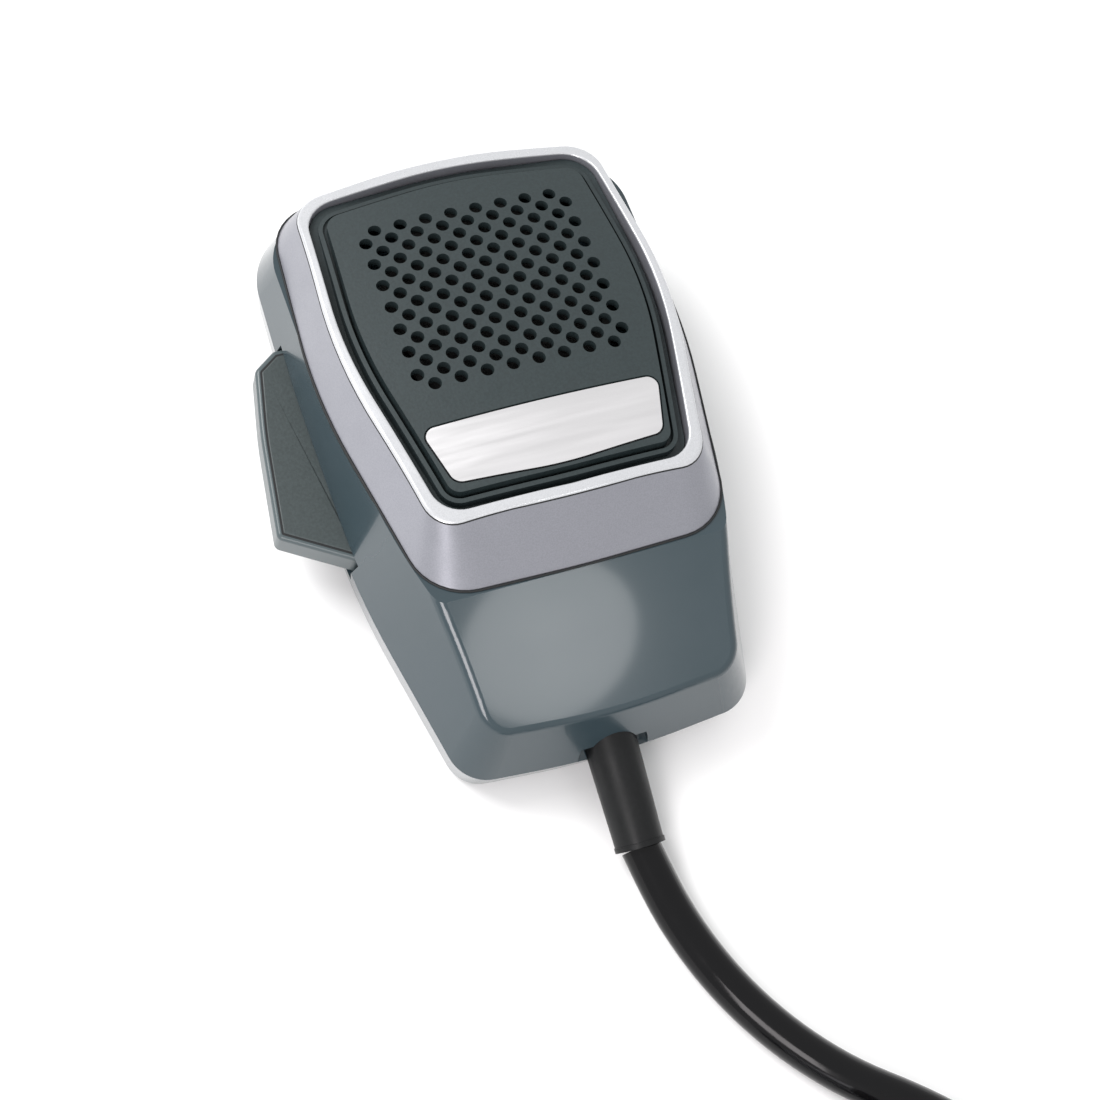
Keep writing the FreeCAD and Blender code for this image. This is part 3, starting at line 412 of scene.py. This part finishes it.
def add_floor():
    """Plain pale floor."""
    mesh = bpy.data.meshes.new("floor")
    reach = 3.0
    mesh.from_pydata([(-reach, -reach, 0), (reach, -reach, 0), (reach, reach, 0), (-reach, reach, 0)], [],
                     [(0, 1, 2, 3)])
    floor = bpy.data.objects.new("floor", mesh)
    material = shade("floor_white", (0.92, 0.92, 0.92), 0.9)
    mesh.materials.append(material)
    bpy.context.collection.objects.link(floor)


def area_light(name, place, target, size, power, color=(1, 1, 1), shape="RECTANGLE"):
    """Softbox aimed at a point, all in metres and watts."""
    data = bpy.data.lights.new(name, "AREA")
    data.shape = shape
    data.size, data.size_y = size
    data.energy = power
    data.color = color
    light = bpy.data.objects.new(name, data)
    light.location = place
    light.rotation_euler = (Vector(place) - Vector(target)).to_track_quat("Z", "Y").to_euler()
    bpy.context.collection.objects.link(light)


def add_lights():
    """White surroundings, a key, and softboxes that show in the front slope and along its left edge."""
    world = bpy.data.worlds.new("world")
    world.use_nodes = True
    world.node_tree.nodes["Background"].inputs["Color"].default_value = (1, 1, 1, 1)
    world.node_tree.nodes["Background"].inputs["Strength"].default_value = 0.88
    bpy.context.scene.world = world
    bpy.context.scene.view_settings.view_transform = "Standard"
    area_light("slope_softbox", (0.144, -0.321, 0.465), (-0.004, -0.026, 0.024), (0.075, 0.062), 0.075,
               shape="ELLIPSE")
    area_light("crease_softbox", (-0.36, -0.40, 0.48), (-0.01, -0.026, 0.024), (0.25, 0.30), 2.2,
               color=(1, 0.95, 0.96))
    area_light("key", (-0.5, 0.5, 0.8), (0.0, 0.0, 0.02), (0.5, 0.5), 8.0)


def plain_materials():
    """Material of every CAD node that keeps its own shape."""
    gloss = glossy_case()
    steel = metal("steel", (0.56, 0.56, 0.57), 0.3)
    panel = grained("panel_grain", (0.016, 0.026, 0.028), 0.5)
    black = grained("black_plastic", (0.02, 0.02, 0.02), 0.4)
    rubber = grained("rubber_black", (0.005, 0.0055, 0.006), 0.4, grain=1500, depth=0.12)
    rubber.node_tree.nodes["Principled BSDF"].inputs["Specular IOR Level"].default_value = 0.25
    return {
        "front_cover": gloss, "rear_cover": gloss,
        "grille_frame": panel, "grille_panel": panel,
        "nameplate": metal("plate_metal", (0.78, 0.77, 0.78), 0.35, scratches=(0.05, 1, 1)),
        "acoustic_cloth": woven_cloth(), "capsule_boot": rubber,
        # The capsule can is near-black so that it stays dark behind the grille holes: painted shade.
        "mic_capsule": metal("can", (0.03, 0.03, 0.03), 0.5),
        "ptt_lever": shade("lever_smooth", (0.060, 0.080, 0.086), 0.3),
        "ptt_pivot_pin": steel, "ptt_return_spring": steel, "cover_screws": steel, "switch_screws": steel,
        "board_screws": steel, "clamp_screws": steel, "button_screw": steel, "plug_screws": steel,
        "cord_clamp": steel,
        "switch_body": black, "board_chip": black, "plug_insert": black,
        "switch_plunger": grained("white_plastic", (0.7, 0.69, 0.65), 0.4),
        "board_connector": grained("cream_plastic", (0.68, 0.66, 0.58), 0.45),
        "circuit_board": grained("board_green", (0.02, 0.12, 0.05), 0.35, grain=600, depth=0.1),
        "board_capacitors": metal("capacitor_can", (0.1, 0.12, 0.3), 0.4),
        "capsule_wires": grained("wire_red", (0.35, 0.03, 0.03), 0.4),
        "cord_wires": grained("wire_blue", (0.03, 0.06, 0.3), 0.4),
        "button_neck": metal("button_neck", (0.62, 0.62, 0.63), 0.28),
        "button_head": metal("button_head", (0.65, 0.65, 0.66), 0.25),
        "strain_relief": rubber, "plug_boot": rubber,
        "plug_shell": metal("plug_shell", (0.62, 0.62, 0.64), 0.25),
        "coupling_ring": metal("plug_ring", (0.6, 0.6, 0.62), 0.3),
        "plug_contacts": metal("contact", (0.8, 0.6, 0.25), 0.25),
    }


EDGE_ROUND = 0.12
EDGE_ANGLE = 28


def dress(node, material):
    """Gives a CAD node its material, smooth faces and softened edges."""
    item = nodes[node]
    item.data.materials.clear()
    item.data.materials.append(material)
    for polygon in item.data.polygons:
        polygon.use_smooth = True
    rounding = item.modifiers.new("rounding", "BEVEL")
    rounding.width = EDGE_ROUND * MM
    rounding.segments = 2
    rounding.limit_method = "ANGLE"
    rounding.angle_limit = math.radians(EDGE_ANGLE)
    rounding.harden_normals = True


# Bezel and lever: the rounded rims of the bezel and the end of its dark line of painted shade, from the
# rim

EDGE = 0.35
CHAMFER = 0.10
SHADE_LINE_END = 0.62


def dome_height(x, y):
    """Height of the dome in the face's frame."""
    return math.sqrt(DOME_RADIUS ** 2 - x ** 2 - (y - DOME_Y) ** 2) - DOME_RADIUS


def rim_point(low, high):
    """Where the straight side from the rear outline to the rim outline meets the dome."""
    below, above = 0.0, 1.0
    for _ in range(30):
        half = (below + above) / 2
        point = low.lerp(high, half)
        if point.z < dome_height(point.x, point.y):
            below = half
        else:
            above = half
    return low.lerp(high, below)


def add_bezel(paint, strip, line):
    """Bezel with painted sides, a bright domed strip and, between them, a dark line of painted shade."""
    depth = Vector((0, 0, -BEZEL_DEPTH))
    rear = [point + depth for point in rounded(mirrored(BEZEL_REAR))]
    front = rounded(mirrored(BEZEL_RIM))
    opening = rounded(mirrored(OPENING))
    outer = [rim_point(low, high) for low, high in zip(rear, front)]
    inner = [Vector((point.x, point.y, dome_height(point.x, point.y))) for point in opening]
    across = [(far - near).normalized() for far, near in zip(outer, inner)]
    down = [(low - high).normalized() for low, high in zip(rear, outer)]
    up = Vector((0, 0, 1))
    paint_band, strip_band, shade_line_band = range(3)
    bands = [
        ([point + Vector((0, 0, -BEZEL_DEPTH - point.z)) for point in inner], paint_band),
        ([point - up * EDGE for point in inner], strip_band),
        ([point - up * CHAMFER + way * CHAMFER for point, way in zip(inner, across)], strip_band),
        ([point + way * EDGE for point, way in zip(inner, across)], strip_band),
    ]
    for share in (0.25, 0.5, 0.75):
        places = [near.lerp(far, share) for near, far in zip(inner, outer)]
        on_dome = [Vector((place.x, place.y, dome_height(place.x, place.y))) for place in places]
        bands.append((on_dome, strip_band))
    bands += [
        ([point - way * EDGE for point, way in zip(outer, across)], strip_band),
        ([point - way * CHAMFER + fall * CHAMFER for point, way, fall in zip(outer, across, down)],
         strip_band),
        # A dark band of painted shade just below the outer rounded edge.
        ([point + fall * EDGE for point, fall in zip(outer, down)], shade_line_band),
        ([point + fall * SHADE_LINE_END for point, fall in zip(outer, down)], paint_band),
    ]
    for share in (0.3, 0.6, 0.97):
        bands.append(([high.lerp(low, share) for high, low in zip(outer, rear)], paint_band))
    bands.append(([point + up * 0.02 for point in rear], paint_band))
    points, faces = stacked([points for points, _ in bands], closed=True)
    bezel = add_mesh("bezel_skin", points, faces, face_matrix(), paint)
    bezel.data.materials.append(strip)
    bezel.data.materials.append(line)
    count = len(rear)
    for polygon in bezel.data.polygons:
        polygon.material_index = bands[polygon.index // count][1]
    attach(bezel, "housing")
    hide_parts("bezel")


def steps_of(outline, levels):
    """Rings of an outline, one for each distance inwards and height."""
    return [[point + Vector((0, 0, height)) for point in rounded(inset(outline, distance))]
            for distance, height in levels]


def lever_plate(grain, line):
    """Grained plate on the lever's top and the dark groove around it, a near-black ring of painted shade.
    """
    outline = LEVER[::-1]
    plate_inset = GROOVE_INSET + GROOVE_WIDTH
    under = LEVER_TOP - 0.05
    rings = steps_of(outline, [(GROOVE_INSET, under), (GROOVE_INSET, LEVER_TOP + 0.01),
                               (plate_inset, LEVER_TOP + 0.01), (plate_inset, under)])
    # Flat near-black ring that stands in for the shade in the groove: painted shade.
    groove = add_mesh("lever_groove_shade", *stacked(rings, closed=True), case_matrix(), line, smooth=False)
    rings = steps_of(outline, [(plate_inset, under), (plate_inset, LEVER_TOP + 0.10),
                               (plate_inset + 0.15, LEVER_TOP + 0.16)])
    points, faces = stacked(rings)
    count = len(rings[0])
    faces.append(tuple(range(2 * count, 3 * count)))
    faces.append(tuple(reversed(range(count))))
    plate = add_mesh("lever_plate", points, faces, case_matrix(), grain, smooth=False)
    for item in (groove, plate):
        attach(item, "ptt_lever")


def bezel_gap_shade(line):
    """Near-black ring of painted shade in the gap between the bezel's lower edge and the case."""
    rings = steps_of(mirrored(BEZEL_REAR), [(0.1, -10.9), (-0.22, -10.9), (-0.22, -10.25), (0.1, -10.25)])
    gap = add_mesh("bezel_gap_shade", *stacked(rings, closed=True), face_matrix(), line)
    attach(gap, "housing")


add_camera()
jacket = cord_jacket()
add_cord(jacket)
add_floor()
add_lights()
for node_name, node_material in plain_materials().items():
    dress(node_name, node_material)
dress("cord_inside", jacket)
# Near-black material of painted shade, for the bezel's edge line, the lever's groove and the gap under the
# bezel.
painted_shade_black = shade("painted_shade_black", (0.006, 0.007, 0.008), 0.6)
add_bezel(silver_paint("bezel_paint", (0.25, 0.255, 0.285), 0.36),
          silver_paint("bezel_strip", (0.56, 0.57, 0.59), 0.26), painted_shade_black)
lever_plate(grained("lever_plate_grain", (0.036, 0.048, 0.049), 0.5), painted_shade_black)
bezel_gap_shade(painted_shade_black)
